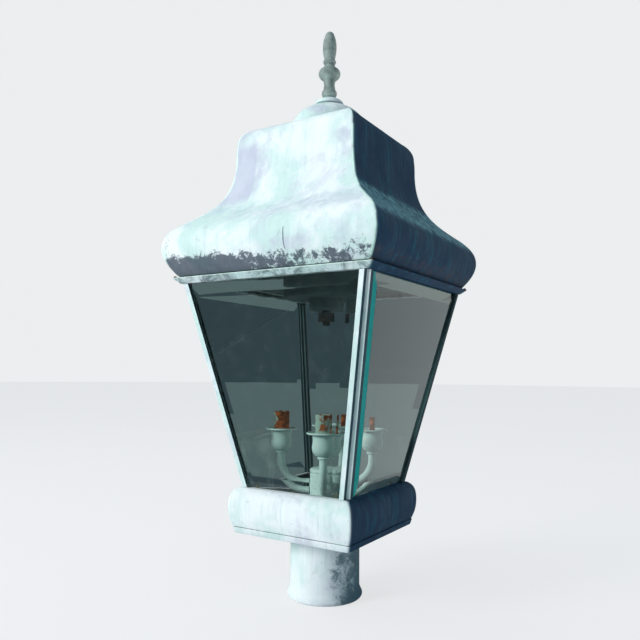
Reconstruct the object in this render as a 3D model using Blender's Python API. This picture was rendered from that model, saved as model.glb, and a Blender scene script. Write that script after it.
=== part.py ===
"""Copper post lantern: a square, four-glass light that slips over a round post.

Metres, +Z up. The origin is the centre of the post fitter's bottom edge. The four glass faces look along
-Y (front), +X (right), +Y (back) and -X (left), and the candle cluster inside is turned against them.
"""

import math

import bmesh
import bpy
from mathutils import Matrix, Vector

MM = 0.001

# Driving dimensions, in millimetres. A half-width is measured from the axis to a flat side.
GAP = 0.3                    # clearance kept between pieces that touch
SHEET = 1.2                  # copper sheet thickness
FITTER_R = 40.5              # post fitter, outside
FITTER_WALL = 2.0
FITTER_TOP = 74.2
BEAD_R = 43.8                # flared bead at the fitter's foot
BEAD_H = 13.0
PAN_FOOT = 75.2              # bottom pan, half-width at its underside
PAN_LIP = 76.8               # and at the top of its upstand
PAN_Z = FITTER_TOP + GAP
PAN_TOP = 81.4
WIRE_HOLE_R = 8.0
SKIRT_BOTTOM = 82.0
SKIRT_TOP = 125.4
TRAY_Z = 118.8
TRAY_HALF = 76.0
TRAY_SCREW_AT = (52.0, 62.0)
GLASS_BOTTOM = 125.9         # where the corner posts stand
GLASS_TOP = 356.3
HALF_AT_BOTTOM = 71.4        # half-width of the glazed cage at GLASS_BOTTOM
HALF_AT_TOP = 122.2          # and at GLASS_TOP
NOTCH = 4.8                  # square notch along each corner post's arris
CHANNEL_SPAN = 10.6          # how far a glazing channel reaches from the corner
CHANNEL_DEPTH = 7.4
CHANNEL_WEB = 7.4
FLANGE = 0.9
PANE_FACE = 1.2              # depth of a pane's outer face behind the cage's face
PANE_BACK = 6.2
BEVEL_WIDTH = 14.0
BEVEL_DEPTH = 3.0
RIM_BOTTOM = 356.8
RIM_TOP = 363.2
RIM_INNER = 112.0
RIM_FOOT = 122.5             # half-width at the foot of the rim's sloping face
RIM_EDGE = 128.9             # and at its top edge
CEILING_HALF = 122.5
ROOF_HEM = 119.0             # half-width of the roof hem's inner edge, on the ceiling plate
ROOF_BOTTOM = 365.0
ROOF_TOP = 550.3
ROOF_OPENING = 20.0          # half-width of the opening under the dome caps
DISH_R = 52.0
DISH_STEP_R = 21.0
DISH_STEP_Z = 345.0
DISH_BOTTOM = 331.0
ROD_R = 4.8                  # threaded rod that clamps the roof stack
ROD_BOTTOM = 313.0
ROD_TOP = 652.0
NUT_FLATS = 17.0
NUT_Z = 317.5
NUT_H = 11.0
DOME_R = 47.5
DOME_H = 35.5
CAP_R = 18.0
CAP_H = 11.0
FINIAL_Z = 594.6
HUB_R = 17.5
HUB_BOTTOM = 120.3
HUB_TOP = 146.0
CLUSTER_TURN = 30.0          # degrees that the cluster is turned from the front face
ARM_R = 4.5
ARM_Z = 127.8
ARM_BEND = 28.0
CUP_AT = 52.0                # distance of a cup from the lantern's axis
CUP_BOTTOM = 162.0
CUP_TOP = 188.0
CUP_FLOOR = 7.0
CUP_LIP_R = 12.5
BOBECHE_R = 19.0
SLEEVE_R = 9.5
SLEEVE_TOP = 212.0
STUB_R = 3.2                 # socket post
STUB_TOP = 206.0
SLEEVED = (1, 2)             # the arms that still carry a socket sleeve
SET_SCREW_Z = 37.0
SET_SCREW_R = 2.5
SET_SCREW_STANDOFF = 4.0     # thread showing under a backed-off head
SET_SCREW_TURNS = {"set_screw_1": 75.0, "set_screw_2": 165.0}

LARGE = 36                   # sides of a large turned piece, and of smaller ones
MEDIUM = 24
SMALL = 16
FINE = 10

FACES = ("front", "right", "back", "left")
CORNERS = ("front_right", "back_right", "back_left", "front_left")


# ---------------------------------------------------------------- scene, materials and objects

def clear_scene():
    for old in list(bpy.data.objects):
        bpy.data.objects.remove(old, do_unlink=True)


def make_material(name, colour, roughness, metallic, alpha=1.0):
    made = bpy.data.materials.new(name)
    made.use_nodes = True
    shader = made.node_tree.nodes["Principled BSDF"]
    shader.inputs["Base Color"].default_value = (*colour, 1.0)
    shader.inputs["Roughness"].default_value = roughness
    shader.inputs["Metallic"].default_value = metallic
    shader.inputs["Alpha"].default_value = alpha
    return made


def patina(name, shade=1.0):
    return make_material(name, (0.42 * shade, 0.66 * shade, 0.62 * shade), 0.8, 0.1)


def bronze(name):
    return make_material(name, (0.21, 0.20, 0.17), 0.5, 0.8)


def rust(name):
    return make_material(name, (0.52, 0.20, 0.07), 0.9, 0.1)


def finish_mesh(shape, name):
    """Scale a millimetre shape to metres, face it outwards and store it."""
    bmesh.ops.scale(shape, vec=(MM, MM, MM), verts=shape.verts)
    bmesh.ops.recalc_face_normals(shape, faces=shape.faces)
    mesh = bpy.data.meshes.new(name)
    shape.to_mesh(mesh)
    shape.free()
    mesh.shade_smooth()
    mesh.set_sharp_from_angle(angle=math.radians(35))
    return mesh


def place(name, mesh, material, turn=0.0, at=(0, 0, 0), parent=None):
    """Make one object from a mesh, turned about the vertical and moved, in millimetres and degrees."""
    made = bpy.data.objects.new(name, mesh.copy())
    made.data.materials.clear()
    made.data.materials.append(material)
    made.rotation_euler = (0, 0, math.radians(turn))
    made.location = Vector(at) * MM
    made.parent = parent
    bpy.context.scene.collection.objects.link(made)
    return made


def empty(name, at, parent=None):
    made = bpy.data.objects.new(name, None)
    made.location = Vector(at) * MM
    made.parent = parent
    bpy.context.scene.collection.objects.link(made)
    return made


def cut(target, cutters):
    """Subtract hidden cutters from an object."""
    for number, cutter in enumerate(cutters):
        cutter.hide_render = True
        cutter.display_type = "WIRE"
        boolean = target.modifiers.new(f"hole_{number}", "BOOLEAN")
        boolean.operation = "DIFFERENCE"
        boolean.solver = "EXACT"
        boolean.object = cutter


# ---------------------------------------------------------------- outlines

def arc(centre, radii, start, end, steps):
    """Points (w, z) on an ellipse's arc, with angles in degrees from the +w direction."""
    points = []
    for step in range(steps + 1):
        angle = math.radians(start + (end - start) * step / steps)
        points.append((centre[0] + radii[0] * math.cos(angle), centre[1] + radii[1] * math.sin(angle)))
    return points


def bezier(a, b, c, d, steps):
    """Points along one cubic curve, without its last point."""
    points = []
    for step in range(steps):
        t = step / steps
        weights = ((1 - t) ** 3, 3 * t * (1 - t) ** 2, 3 * t * t * (1 - t), t ** 3)
        points.append(tuple(sum(k * p[axis] for k, p in zip(weights, (a, b, c, d))) for axis in (0, 1)))
    return points


def offset_inwards(outline, thickness):
    """The outline moved to its left by a sheet's thickness, for an outline drawn upwards."""
    moved = []
    for index, (w, z) in enumerate(outline):
        before = outline[max(index - 1, 0)]
        after = outline[min(index + 1, len(outline) - 1)]
        along = Vector((after[0] - before[0], after[1] - before[1])).normalized()
        moved.append((w - along.y * thickness, z + along.x * thickness))
    return moved


def sheet_section(outline, thickness=SHEET):
    """A closed section: the outline, then its inner side back down."""
    return outline + offset_inwards(outline, thickness)[::-1]


def cage_half(z):
    """Half-width of the glazed cage at a height."""
    share = (z - GLASS_BOTTOM) / (GLASS_TOP - GLASS_BOTTOM)
    return HALF_AT_BOTTOM + share * (HALF_AT_TOP - HALF_AT_BOTTOM)


def roof_outline():
    """Ogee drawn upwards: hem turned in, bulge, hollow sweep, waist, shoulder and flat top."""
    outline = [(ROOF_HEM, ROOF_BOTTOM)]
    outline += bezier((125.0, ROOF_BOTTOM), (131.0, 372.5), (139.0, 384.0), (139.0, 397.0), 5)
    outline += bezier((139.0, 397.0), (139.0, 408.0), (134.5, 415.0), (124.0, 424.5), 5)
    outline += bezier((124.0, 424.5), (98.5, 443.5), (80.5, 458.0), (80.0, 507.0), 7)
    outline += [(80.0, 507.0)]
    outline += arc((56.8, 525.0), (22.5, 22.5), 0, 76, 5)
    outline += [(48.0, ROOF_TOP), (ROOF_OPENING, ROOF_TOP)]
    return outline


def skirt_outline():
    """Ovolo of the base, drawn upwards, with a lip turned in under the glass."""
    outline = bezier((76.3, SKIRT_BOTTOM), (79.5, 89.0), (80.9, 96.0), (80.9, 104.0), 4)
    outline += bezier((80.9, 104.0), (80.9, 114.0), (79.5, 121.0), (73.2, 124.8), 5)
    outline += [(72.2, SKIRT_TOP), (64.8, SKIRT_TOP)]
    return outline


# ---------------------------------------------------------------- solid shapes

def turned_shape(profile, segments, closed=False):
    """A body turned about the vertical. A closed profile makes a hollow ring, else both ends lie on the axis."""
    shape = bmesh.new()
    rings = []
    for r, z in profile:
        if r < 1e-6:
            rings.append([shape.verts.new((0, 0, z))] * segments)
            continue
        ring = []
        for step in range(segments):
            angle = 2 * math.pi * step / segments
            ring.append(shape.verts.new((r * math.cos(angle), r * math.sin(angle), z)))
        rings.append(ring)
    pairs = list(zip(rings, rings[1:]))
    if closed:
        pairs.append((rings[-1], rings[0]))
    for lower, upper in pairs:
        for step in range(segments):
            ahead = (step + 1) % segments
            corners = [lower[step], lower[ahead], upper[ahead], upper[step]]
            shape.faces.new(list(dict.fromkeys(corners)))
    return shape


def turned(name, profile, segments=MEDIUM, closed=False):
    return finish_mesh(turned_shape(profile, segments, closed), name)


def square_ring(name, section):
    """A mitred square frame from a closed section of (half-width, height) points."""
    shape = bmesh.new()
    rings = []
    for w, z in section:
        rings.append([shape.verts.new((x * w, y * w, z)) for x, y in ((1, -1), (1, 1), (-1, 1), (-1, -1))])
    for lower, upper in zip(rings, rings[1:] + rings[:1]):
        for step in range(4):
            ahead = (step + 1) % 4
            shape.faces.new((lower[step], lower[ahead], upper[ahead], upper[step]))
    return finish_mesh(shape, name)


def mitred_strip(name, section):
    """One side of a mitred frame, on the front: its ends are cut back by half the gap."""
    shape = bmesh.new()
    short = GAP * 0.75
    left = [shape.verts.new((short - w, -w, z)) for w, z in section]
    right = [shape.verts.new((w - short, -w, z)) for w, z in section]
    count = len(section)
    for step in range(count):
        ahead = (step + 1) % count
        shape.faces.new((left[step], right[step], right[ahead], left[ahead]))
    shape.faces.new(left)
    shape.faces.new(right)
    return finish_mesh(shape, name)


def block(name, half_x, half_y, bottom, top):
    shape = bmesh.new()
    bmesh.ops.create_cube(shape, size=1.0)
    bmesh.ops.scale(shape, vec=(2 * half_x, 2 * half_y, top - bottom), verts=shape.verts)
    bmesh.ops.translate(shape, vec=(0, 0, (top + bottom) / 2), verts=shape.verts)
    return finish_mesh(shape, name)


def rod_shape(name, radius, bottom, top, segments=SMALL, bore=0.0):
    if bore:
        section = [(radius, bottom), (radius, top), (bore, top), (bore, bottom)]
        return turned(name, section, segments, closed=True)
    return turned(name, [(0, bottom), (radius, bottom), (radius, top), (0, top)], segments)


def hole(name, radius, bottom, top, at=(0, 0)):
    made = place(name, rod_shape(name, radius, bottom, top, MEDIUM), CUTTER, at=(*at, 0))
    return made


def hex_nut(name, flats, bottom, top, bore):
    """A hexagonal nut with a round bore, bridged between the two outlines."""
    shape = bmesh.new()
    sides = MEDIUM
    outer_r = flats / 2 / math.cos(math.pi / 6)
    loops = []
    for radius, z in ((outer_r, bottom), (outer_r, top), (bore, top), (bore, bottom)):
        loop = []
        for step in range(sides):
            angle = 2 * math.pi * step / sides
            reach = radius
            if radius == outer_r:
                within = (angle + math.pi / 6) % (math.pi / 3) - math.pi / 6
                reach = flats / 2 / math.cos(within)
            loop.append(shape.verts.new((reach * math.cos(angle), reach * math.sin(angle), z)))
        loops.append(loop)
    for lower, upper in zip(loops, loops[1:] + loops[:1]):
        for step in range(sides):
            ahead = (step + 1) % sides
            shape.faces.new((lower[step], lower[ahead], upper[ahead], upper[step]))
    return finish_mesh(shape, name)


def tube(name, path, radius, segments=FINE):
    """A round bar along a path in the XZ plane."""
    shape = bmesh.new()
    rings = []
    for index, (x, z) in enumerate(path):
        before = path[max(index - 1, 0)]
        after = path[min(index + 1, len(path) - 1)]
        along = Vector((after[0] - before[0], 0, after[1] - before[1])).normalized()
        across = Vector((0, 1, 0))
        third = along.cross(across)
        ring = []
        for step in range(segments):
            angle = 2 * math.pi * step / segments
            side = across * math.cos(angle) + third * math.sin(angle)
            ring.append(shape.verts.new(Vector((x, 0, z)) + side * radius))
        rings.append(ring)
    for lower, upper in zip(rings, rings[1:]):
        for step in range(segments):
            ahead = (step + 1) % segments
            shape.faces.new((lower[step], lower[ahead], upper[ahead], upper[step]))
    shape.faces.new(rings[0])
    shape.faces.new(rings[-1])
    return finish_mesh(shape, name)


# ---------------------------------------------------------------- fitter and base

def build_fitter():
    bore = FITTER_R - FITTER_WALL
    section = [(bore, 0), (BEAD_R - 1.8, 0)]
    section += arc((BEAD_R - 2.2, 3.2), (2.2, 3.0), -60, 60, 3)
    section += bezier((FITTER_R + 1.4, 8.2), (FITTER_R + 0.5, 9.6), (FITTER_R, 11.0), (FITTER_R, BEAD_H), 3)
    section += [(FITTER_R, BEAD_H), (FITTER_R, FITTER_TOP), (bore, FITTER_TOP)]
    fitter = place("post_fitter", turned("post_fitter", section, LARGE, closed=True), patina("fitter_patina"))
    cutters = []
    for name, turn in SET_SCREW_TURNS.items():
        screw = set_screw(name, turn)
        clearance = rod_shape("hole", SET_SCREW_R + GAP, 30.0, 50.0, MEDIUM)
        cutter = place(f"{name}_hole", clearance, CUTTER)
        cutter.matrix_world = screw.matrix_world.copy()
        cutters.append(cutter)
    cut(fitter, cutters)


def set_screw(name, turn):
    """A hex-headed set screw lying along its own +Z, its origin on the lantern's axis."""
    tip = FITTER_R - FITTER_WALL + GAP
    head = FITTER_R + SET_SCREW_STANDOFF
    profile = [(0, tip), (SET_SCREW_R - 0.5, tip), (SET_SCREW_R, tip + 0.6), (SET_SCREW_R, head)]
    profile += [(4.4, head), (4.4, head + 3.2), (3.6, head + 4.0), (0, head + 4.0)]
    screw = place(name, turned(name, profile, FINE), bronze(f"{name}_metal"))
    outwards = Matrix.Rotation(math.radians(turn), 4, "Z") @ Matrix.Rotation(math.radians(90), 4, "Y")
    screw.matrix_world = Matrix.Translation((0, 0, SET_SCREW_Z * MM)) @ outwards
    bpy.context.view_layer.update()
    return screw


def build_pan():
    inner = PAN_LIP - SHEET
    section = [(0, PAN_Z), (PAN_FOOT - 0.8, PAN_Z), (PAN_FOOT, PAN_Z + 0.8), (PAN_LIP, PAN_TOP - 0.5)]
    section += [(PAN_LIP - 0.3, PAN_TOP), (inner, PAN_TOP), (inner - 1.2, PAN_Z + SHEET), (0, PAN_Z + SHEET)]
    shape = bmesh.new()
    rings = []
    for w, z in section:
        if w == 0:
            rings.append([shape.verts.new((0, 0, z))] * 4)
            continue
        rings.append([shape.verts.new((x * w, y * w, z)) for x, y in ((1, -1), (1, 1), (-1, 1), (-1, -1))])
    for lower, upper in zip(rings, rings[1:]):
        for step in range(4):
            ahead = (step + 1) % 4
            corners = [lower[step], lower[ahead], upper[ahead], upper[step]]
            shape.faces.new(list(dict.fromkeys(corners)))
    pan = place("bottom_pan", finish_mesh(shape, "bottom_pan"), patina("pan_patina"))
    cut(pan, [hole("wire_hole", WIRE_HOLE_R, PAN_Z - 5, PAN_Z + 8)])


def build_skirt():
    mesh = mitred_strip("skirt", sheet_section(skirt_outline()))
    for number, face in enumerate(FACES):
        place(f"skirt_{face}", mesh, patina(f"skirt_{face}_patina"), turn=90 * number)


def tray_screw_places():
    x, y = TRAY_SCREW_AT
    return ((-x, -y), (x, -y), (x, y), (-x, y))


def build_tray():
    top = TRAY_Z + SHEET
    tray = place("tray", block("tray", TRAY_HALF, TRAY_HALF, TRAY_Z, top), patina("tray_patina", 0.5))
    shank = 1.9
    cutters = [hole("tray_centre_hole", ROD_R + GAP, TRAY_Z - 5, top + 5)]
    for number, at in enumerate(tray_screw_places(), 1):
        cutters.append(hole(f"tray_hole_{number}", shank + GAP, TRAY_Z - 5, top + 5, at))
    cut(tray, cutters)
    profile = [(0, TRAY_Z - 6), (shank, TRAY_Z - 6), (shank, top + 7.4), (3.4, top + 8.0)]
    profile += arc((0, top + 8.6), (3.8, 2.6), 0, 90, 3)[:-1]
    profile += [(0, top + 11.2)]
    mesh = turned("tray_screw", profile, FINE)
    for number, at in enumerate(tray_screw_places(), 1):
        place(f"tray_screw_{number}", mesh, bronze(f"tray_screw_{number}_metal"), at=(*at, 0))


# ---------------------------------------------------------------- glazed cage

def post_section():
    """(b, a) points: depths behind the corner's two faces, round two glazing channels and the notch."""
    lip = CHANNEL_DEPTH - FLANGE
    half = [(NOTCH, 0), (CHANNEL_SPAN, 0), (CHANNEL_SPAN, FLANGE), (CHANNEL_WEB, FLANGE)]
    half += [(CHANNEL_WEB, lip), (CHANNEL_SPAN, lip), (CHANNEL_SPAN, CHANNEL_DEPTH)]
    mirrored = [(a, b) for b, a in half][::-1]
    return half + [(CHANNEL_DEPTH, CHANNEL_DEPTH)] + mirrored + [(NOTCH, NOTCH)]


def build_corner_posts():
    shape = bmesh.new()
    ends = []
    for z in (GLASS_BOTTOM, GLASS_TOP):
        w = cage_half(z)
        ends.append([shape.verts.new((w - b, a - w, z)) for b, a in post_section()])
    count = len(ends[0])
    for step in range(count):
        ahead = (step + 1) % count
        shape.faces.new((ends[0][step], ends[0][ahead], ends[1][ahead], ends[1][step]))
    shape.faces.new(ends[0])
    shape.faces.new(ends[1])
    mesh = finish_mesh(shape, "corner_post")
    for number, corner in enumerate(CORNERS):
        place(f"corner_post_{corner}", mesh, patina(f"post_{corner}_patina", 0.8), turn=90 * number)


def build_panes():
    lean = math.atan2(HALF_AT_TOP - HALF_AT_BOTTOM, GLASS_TOP - GLASS_BOTTOM)
    rise = BEVEL_WIDTH * math.cos(lean)
    run = BEVEL_WIDTH / math.cos(math.atan(math.sin(lean)))
    low, high = GLASS_BOTTOM + GAP, GLASS_TOP
    shape = bmesh.new()
    loops = []
    for inset_z, inset_x, depth in ((0, 0, PANE_BACK), (0, 0, PANE_FACE + BEVEL_DEPTH), (rise, run, PANE_FACE)):
        loop = []
        for z, side in ((low + inset_z, -1), (low + inset_z, 1), (high - inset_z, 1), (high - inset_z, -1)):
            w = cage_half(z)
            loop.append(shape.verts.new((side * (w - CHANNEL_WEB - GAP - inset_x), depth - w, z)))
        loops.append(loop)
    for outer, inner in zip(loops, loops[1:]):
        for step in range(4):
            ahead = (step + 1) % 4
            shape.faces.new((outer[step], outer[ahead], inner[ahead], inner[step]))
    shape.faces.new(loops[0])
    shape.faces.new(loops[-1])
    mesh = finish_mesh(shape, "glass_pane")
    for number, face in enumerate(FACES):
        glass = make_material(f"glass_{face}", (0.72, 0.88, 0.86), 0.03, 0.0, 0.3)
        place(f"glass_pane_{face}", mesh, glass, turn=90 * number)


def build_rim():
    slope = SHEET * 1.3
    section = [(RIM_INNER, RIM_BOTTOM), (RIM_FOOT, RIM_BOTTOM), (RIM_EDGE, RIM_TOP - 0.9), (RIM_EDGE, RIM_TOP)]
    section += [(RIM_INNER, RIM_TOP), (RIM_INNER, RIM_TOP - SHEET), (RIM_EDGE - slope - 1.6, RIM_TOP - SHEET)]
    section += [(RIM_FOOT - slope, RIM_BOTTOM + SHEET), (RIM_INNER, RIM_BOTTOM + SHEET)]
    place("top_rim", square_ring("top_rim", section), patina("rim_patina", 0.8))
    foot = RIM_TOP + GAP
    profile = [(0, foot), (1.9, foot), (1.9, foot + 0.6), (1.3, foot + 1.4), (0, foot + 1.6)]
    mesh = turned("rim_screw", profile, FINE)
    reach = RIM_EDGE - 2.1
    for number, corner in enumerate(CORNERS):
        place(f"rim_screw_{corner}", turned_about(mesh, reach, -reach), bronze(f"{corner}_screw"), turn=90 * number)


def turned_about(mesh, x, y):
    moved = mesh.copy()
    moved.transform(Matrix.Translation((x * MM, y * MM, 0)))
    return moved


# ---------------------------------------------------------------- roof

def build_roof(roof):
    mesh = mitred_strip("roof_panel", sheet_section(roof_outline()))
    for number, face in enumerate(FACES):
        place(f"roof_panel_{face}", mesh, patina(f"roof_{face}_patina"), turn=90 * number, parent=roof)


def build_ceiling(roof):
    bottom = RIM_TOP + GAP
    plate_mesh = block("ceiling_plate", CEILING_HALF, CEILING_HALF, bottom, bottom + SHEET)
    plate = place("ceiling_plate", plate_mesh, patina("ceiling_patina", 0.35), parent=roof)
    cut(plate, [hole("ceiling_hole", ROD_R + GAP, bottom - 5, bottom + 5)])
    top = bottom - GAP
    bore = ROD_R + GAP
    section = [(bore, DISH_BOTTOM), (DISH_STEP_R - 2, DISH_BOTTOM), (DISH_STEP_R, DISH_BOTTOM + 2)]
    section += [(DISH_STEP_R, DISH_STEP_Z), (DISH_R - 3, DISH_STEP_Z), (DISH_R, DISH_STEP_Z + 3), (DISH_R, top)]
    section += [(DISH_R - SHEET, top), (DISH_R - SHEET, DISH_STEP_Z + 3.5), (DISH_R - 3.5, DISH_STEP_Z + SHEET)]
    section += [(DISH_STEP_R - SHEET, DISH_STEP_Z + SHEET), (DISH_STEP_R - SHEET, DISH_BOTTOM + 2.5)]
    section += [(DISH_STEP_R - 2.5, DISH_BOTTOM + SHEET), (bore, DISH_BOTTOM + SHEET)]
    dish = turned("ceiling_dish", section, LARGE, closed=True)
    place("ceiling_dish", dish, patina("dish_patina", 0.35), parent=roof)


def build_rod(roof):
    rod = rod_shape("threaded_rod", ROD_R, ROD_BOTTOM, ROD_TOP)
    place("threaded_rod", rod, bronze("rod_metal"), parent=roof)
    nut = hex_nut("rod_nut", NUT_FLATS, NUT_Z, NUT_Z + NUT_H, ROD_R + GAP)
    place("rod_nut", nut, bronze("nut_metal"), parent=roof)


def build_dome_caps(roof):
    foot = ROOF_TOP + GAP
    bore = ROD_R + GAP
    outline = [(DOME_R + 1.5, foot), (DOME_R + 1.5, foot + SHEET)]
    outline += arc((0, foot + SHEET), (DOME_R, DOME_H - 2 * SHEET), 2, 83, 7)
    crown = foot + DOME_H - SHEET
    outline += [(bore, crown)]
    hollow = arc((0, foot), (DOME_R - SHEET, DOME_H - 2 * SHEET), 0, 82, 6)
    section = outline + [(bore, crown - SHEET)] + hollow[::-1]
    lower = turned("dome_cap_lower", section, LARGE, closed=True)
    place("dome_cap_lower", lower, patina("dome_lower_patina"), parent=roof)
    foot = crown + GAP
    outline = [(bore, foot), (CAP_R, foot)]
    outline += arc((0, foot + 0.8), (CAP_R, FINIAL_Z - GAP - foot - 0.8), 0, 62, 4)
    outline += [(CAP_R * 0.42, FINIAL_Z - GAP), (bore, FINIAL_Z - GAP)]
    upper = turned("dome_cap_upper", outline, closed=True)
    place("dome_cap_upper", upper, patina("dome_upper_patina"), parent=roof)


def build_finial(finial):
    bore = ROD_R + GAP
    ball = FINIAL_Z + 6.2
    base = [(bore, FINIAL_Z)]
    base += arc((2.2, ball), (7.3, 6.2), -58, 50, 6)
    base += [(7.0, 607.6), (6.6, 611.5), (7.3, 616.6), (bore, 616.6)]
    flange = [(bore, 616.9), (7.5, 616.9)]
    flange += bezier((9.0, 618.9), (12.4, 621.4), (13.6, 623.6), (13.6, 626.2), 3)
    flange += bezier((13.6, 626.2), (13.6, 629.4), (11.4, 631.6), (7.4, 634.4), 3)
    flange += [(6.6, 635.4), (6.6, 637.8), (bore, 637.8)]
    well = ROD_TOP + 1.0
    spire = [(0.0, well), (bore, well), (bore, 638.1), (6.8, 638.1)]
    spire += arc((5.2, 641.6), (2.9, 2.6), -50, 50, 3)
    spire += [(6.6, 645.8)]
    spire += bezier((7.0, 647.0), (9.2, 656.0), (9.4, 667.0), (5.6, 676.4), 6)
    spire += bezier((5.6, 676.4), (4.3, 679.3), (2.2, 680.9), (0.0, 681.0), 3)
    spire += [(0.0, 681.0)]
    for name, profile, closed in (("base", base, True), ("flange", flange, True), ("spire", spire, False)):
        mesh = turned(f"finial_{name}", profile, MEDIUM - 4, closed)
        place(f"finial_{name}", mesh, bronze(f"finial_{name}_metal"), parent=finial)


# ---------------------------------------------------------------- candle cluster

def build_hub():
    bore = ROD_R + GAP
    well = HUB_TOP - 10
    profile = [(0, well), (bore, well), (bore, HUB_BOTTOM), (HUB_R, HUB_BOTTOM), (HUB_R, HUB_TOP - 7.5)]
    profile += [(HUB_R - 0.8, HUB_TOP - 7.0), (HUB_R - 0.8, HUB_TOP - 6.4), (HUB_R + 0.3, HUB_TOP - 6.0)]
    profile += [(HUB_R + 0.3, HUB_TOP - 1.6), (HUB_R - 1.4, HUB_TOP), (0, HUB_TOP)]
    place("candle_hub", turned("candle_hub", profile), patina("hub_patina"))
    nipple = rod_shape("hub_nipple", ROD_R, TRAY_Z - 12, well - 2, SMALL, bore=3.0)
    place("hub_nipple", nipple, bronze("nipple_metal"))
    locknut = hex_nut("hub_locknut", 14.0, TRAY_Z - 5.3, TRAY_Z - GAP, bore)
    place("hub_locknut", locknut, bronze("locknut_metal"))


def arm_path():
    """From the hub's wall out level, round a quarter bend and up to the cup."""
    path = [(HUB_R + GAP + 0.3, ARM_Z), (CUP_AT - ARM_BEND, ARM_Z)]
    path += arc((CUP_AT - ARM_BEND, ARM_Z + ARM_BEND), (ARM_BEND, ARM_BEND), -81, 0, 9)
    return path + [(CUP_AT, CUP_BOTTOM - GAP)]


def cup_mesh():
    """Goblet-shaped candle cup, hollow above its floor."""
    floor = CUP_BOTTOM + CUP_FLOOR
    outer = [(0, CUP_BOTTOM), (5.4, CUP_BOTTOM), (5.4, CUP_BOTTOM + 1.6)]
    outer += bezier((5.0, CUP_BOTTOM + 2.6), (11.0, CUP_BOTTOM + 5.0), (13.4, CUP_BOTTOM + 9), (12.2, 179.0), 4)
    outer += bezier((12.2, 179.0), (11.6, 182.5), (11.8, 185.0), (CUP_LIP_R, CUP_TOP), 2)
    outer += [(CUP_LIP_R, CUP_TOP), (CUP_LIP_R - 1.4, CUP_TOP), (10.8, 179.0), (8.0, floor), (0, floor)]
    return turned("cup", outer, SMALL)


def bobeche_mesh():
    """Drip pan: a thin disc on the cup, dished up to a rolled rim."""
    base = CUP_TOP + GAP
    bore = STUB_R + 1.2
    section = [(bore, base), (13.0, base), (16.6, base + 1.0)]
    section += arc((BOBECHE_R - 1.2, base + 2.0), (1.2, 1.2), -60, 150, 4)
    section += [(12.6, base + 0.9), (bore, base + 0.9)]
    return turned("bobeche", section, MEDIUM - 4, closed=True)


def sleeve_mesh(seat, floor):
    """Open socket sleeve that stands on the drip pan, with a floor over the socket post."""
    inner = SLEEVE_R - 1.0
    shell = [(0, floor), (STUB_R + 0.4, floor), (STUB_R + 0.4, seat), (SLEEVE_R, seat), (SLEEVE_R, SLEEVE_TOP)]
    shell += [(inner, SLEEVE_TOP), (inner, floor + 1.5), (0, floor + 1.5)]
    return turned("sleeve", shell, MEDIUM - 4)


def build_arms():
    arm = tube("arm", arm_path(), ARM_R)
    cup = cup_mesh()
    bobeche = bobeche_mesh()
    low = CUP_BOTTOM + CUP_FLOOR + GAP
    seat = CUP_TOP + 2 * GAP + 0.9
    stub = rod_shape("stub", STUB_R, low, STUB_TOP)
    short_stub = rod_shape("short_stub", STUB_R, low, seat + 2.0)
    sleeve = sleeve_mesh(seat, seat + 2.0 + GAP)
    for number in range(1, 5):
        turn = CLUSTER_TURN + 90 * (number - 3)
        at = (CUP_AT * math.cos(math.radians(turn)), CUP_AT * math.sin(math.radians(turn)), 0)
        place(f"arm_{number}", arm, patina(f"arm_{number}_patina"), turn=turn)
        place(f"cup_{number}", cup, patina(f"cup_{number}_patina"), turn=turn, at=at)
        place(f"bobeche_{number}", bobeche, patina(f"bobeche_{number}_patina", 0.7), turn=turn, at=at)
        post = short_stub if number in SLEEVED else stub
        place(f"socket_post_{number}", post, rust(f"socket_post_{number}_rust"), turn=turn, at=at)
        if number in SLEEVED:
            place(f"socket_sleeve_{number}", sleeve, rust(f"socket_sleeve_{number}_rust"), turn=turn, at=at)


clear_scene()
CUTTER = make_material("cutter", (0.8, 0.1, 0.1), 0.5, 0.0)
build_fitter()
build_pan()
build_skirt()
build_tray()
build_corner_posts()
build_panes()
build_rim()
roof_empty = empty("roof_lift_axis", (0, 0, 0))
finial_empty = empty("finial_turn_axis", (0, 0, 0), roof_empty)
build_roof(roof_empty)
build_ceiling(roof_empty)
build_rod(roof_empty)
build_dome_caps(roof_empty)
build_finial(finial_empty)
build_hub()
build_arms()
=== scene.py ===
"""The looks of a verdigris copper post lantern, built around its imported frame.

Outlines are in millimetres, as (distance from the axis, height) points drawn upwards on the outside.
The lantern's front is -y, its right side is +x, and z is up.
"""

import math

import bmesh
import bpy
from mathutils import Matrix, Vector, noise


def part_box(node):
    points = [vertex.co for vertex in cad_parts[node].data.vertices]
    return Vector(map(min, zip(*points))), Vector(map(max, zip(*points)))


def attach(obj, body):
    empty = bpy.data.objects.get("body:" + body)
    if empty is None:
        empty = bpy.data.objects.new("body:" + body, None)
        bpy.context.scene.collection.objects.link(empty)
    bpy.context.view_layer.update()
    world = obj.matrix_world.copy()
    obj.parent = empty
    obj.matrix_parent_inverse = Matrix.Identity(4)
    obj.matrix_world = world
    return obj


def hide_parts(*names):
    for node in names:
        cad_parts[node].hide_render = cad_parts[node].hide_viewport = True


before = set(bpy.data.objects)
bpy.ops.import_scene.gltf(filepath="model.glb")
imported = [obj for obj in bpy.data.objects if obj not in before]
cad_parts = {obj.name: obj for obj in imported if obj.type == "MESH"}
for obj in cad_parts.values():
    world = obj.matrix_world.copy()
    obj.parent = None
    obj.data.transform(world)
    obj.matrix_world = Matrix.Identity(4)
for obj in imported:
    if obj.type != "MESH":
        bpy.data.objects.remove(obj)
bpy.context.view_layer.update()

MM = 0.001
SHEET = 1.2
ROD_R = 4.8
BORE = ROD_R + 0.3
FACES = ("front", "right", "back", "left")
CORNERS = ("front_right", "back_right", "back_left", "front_left")

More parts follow.
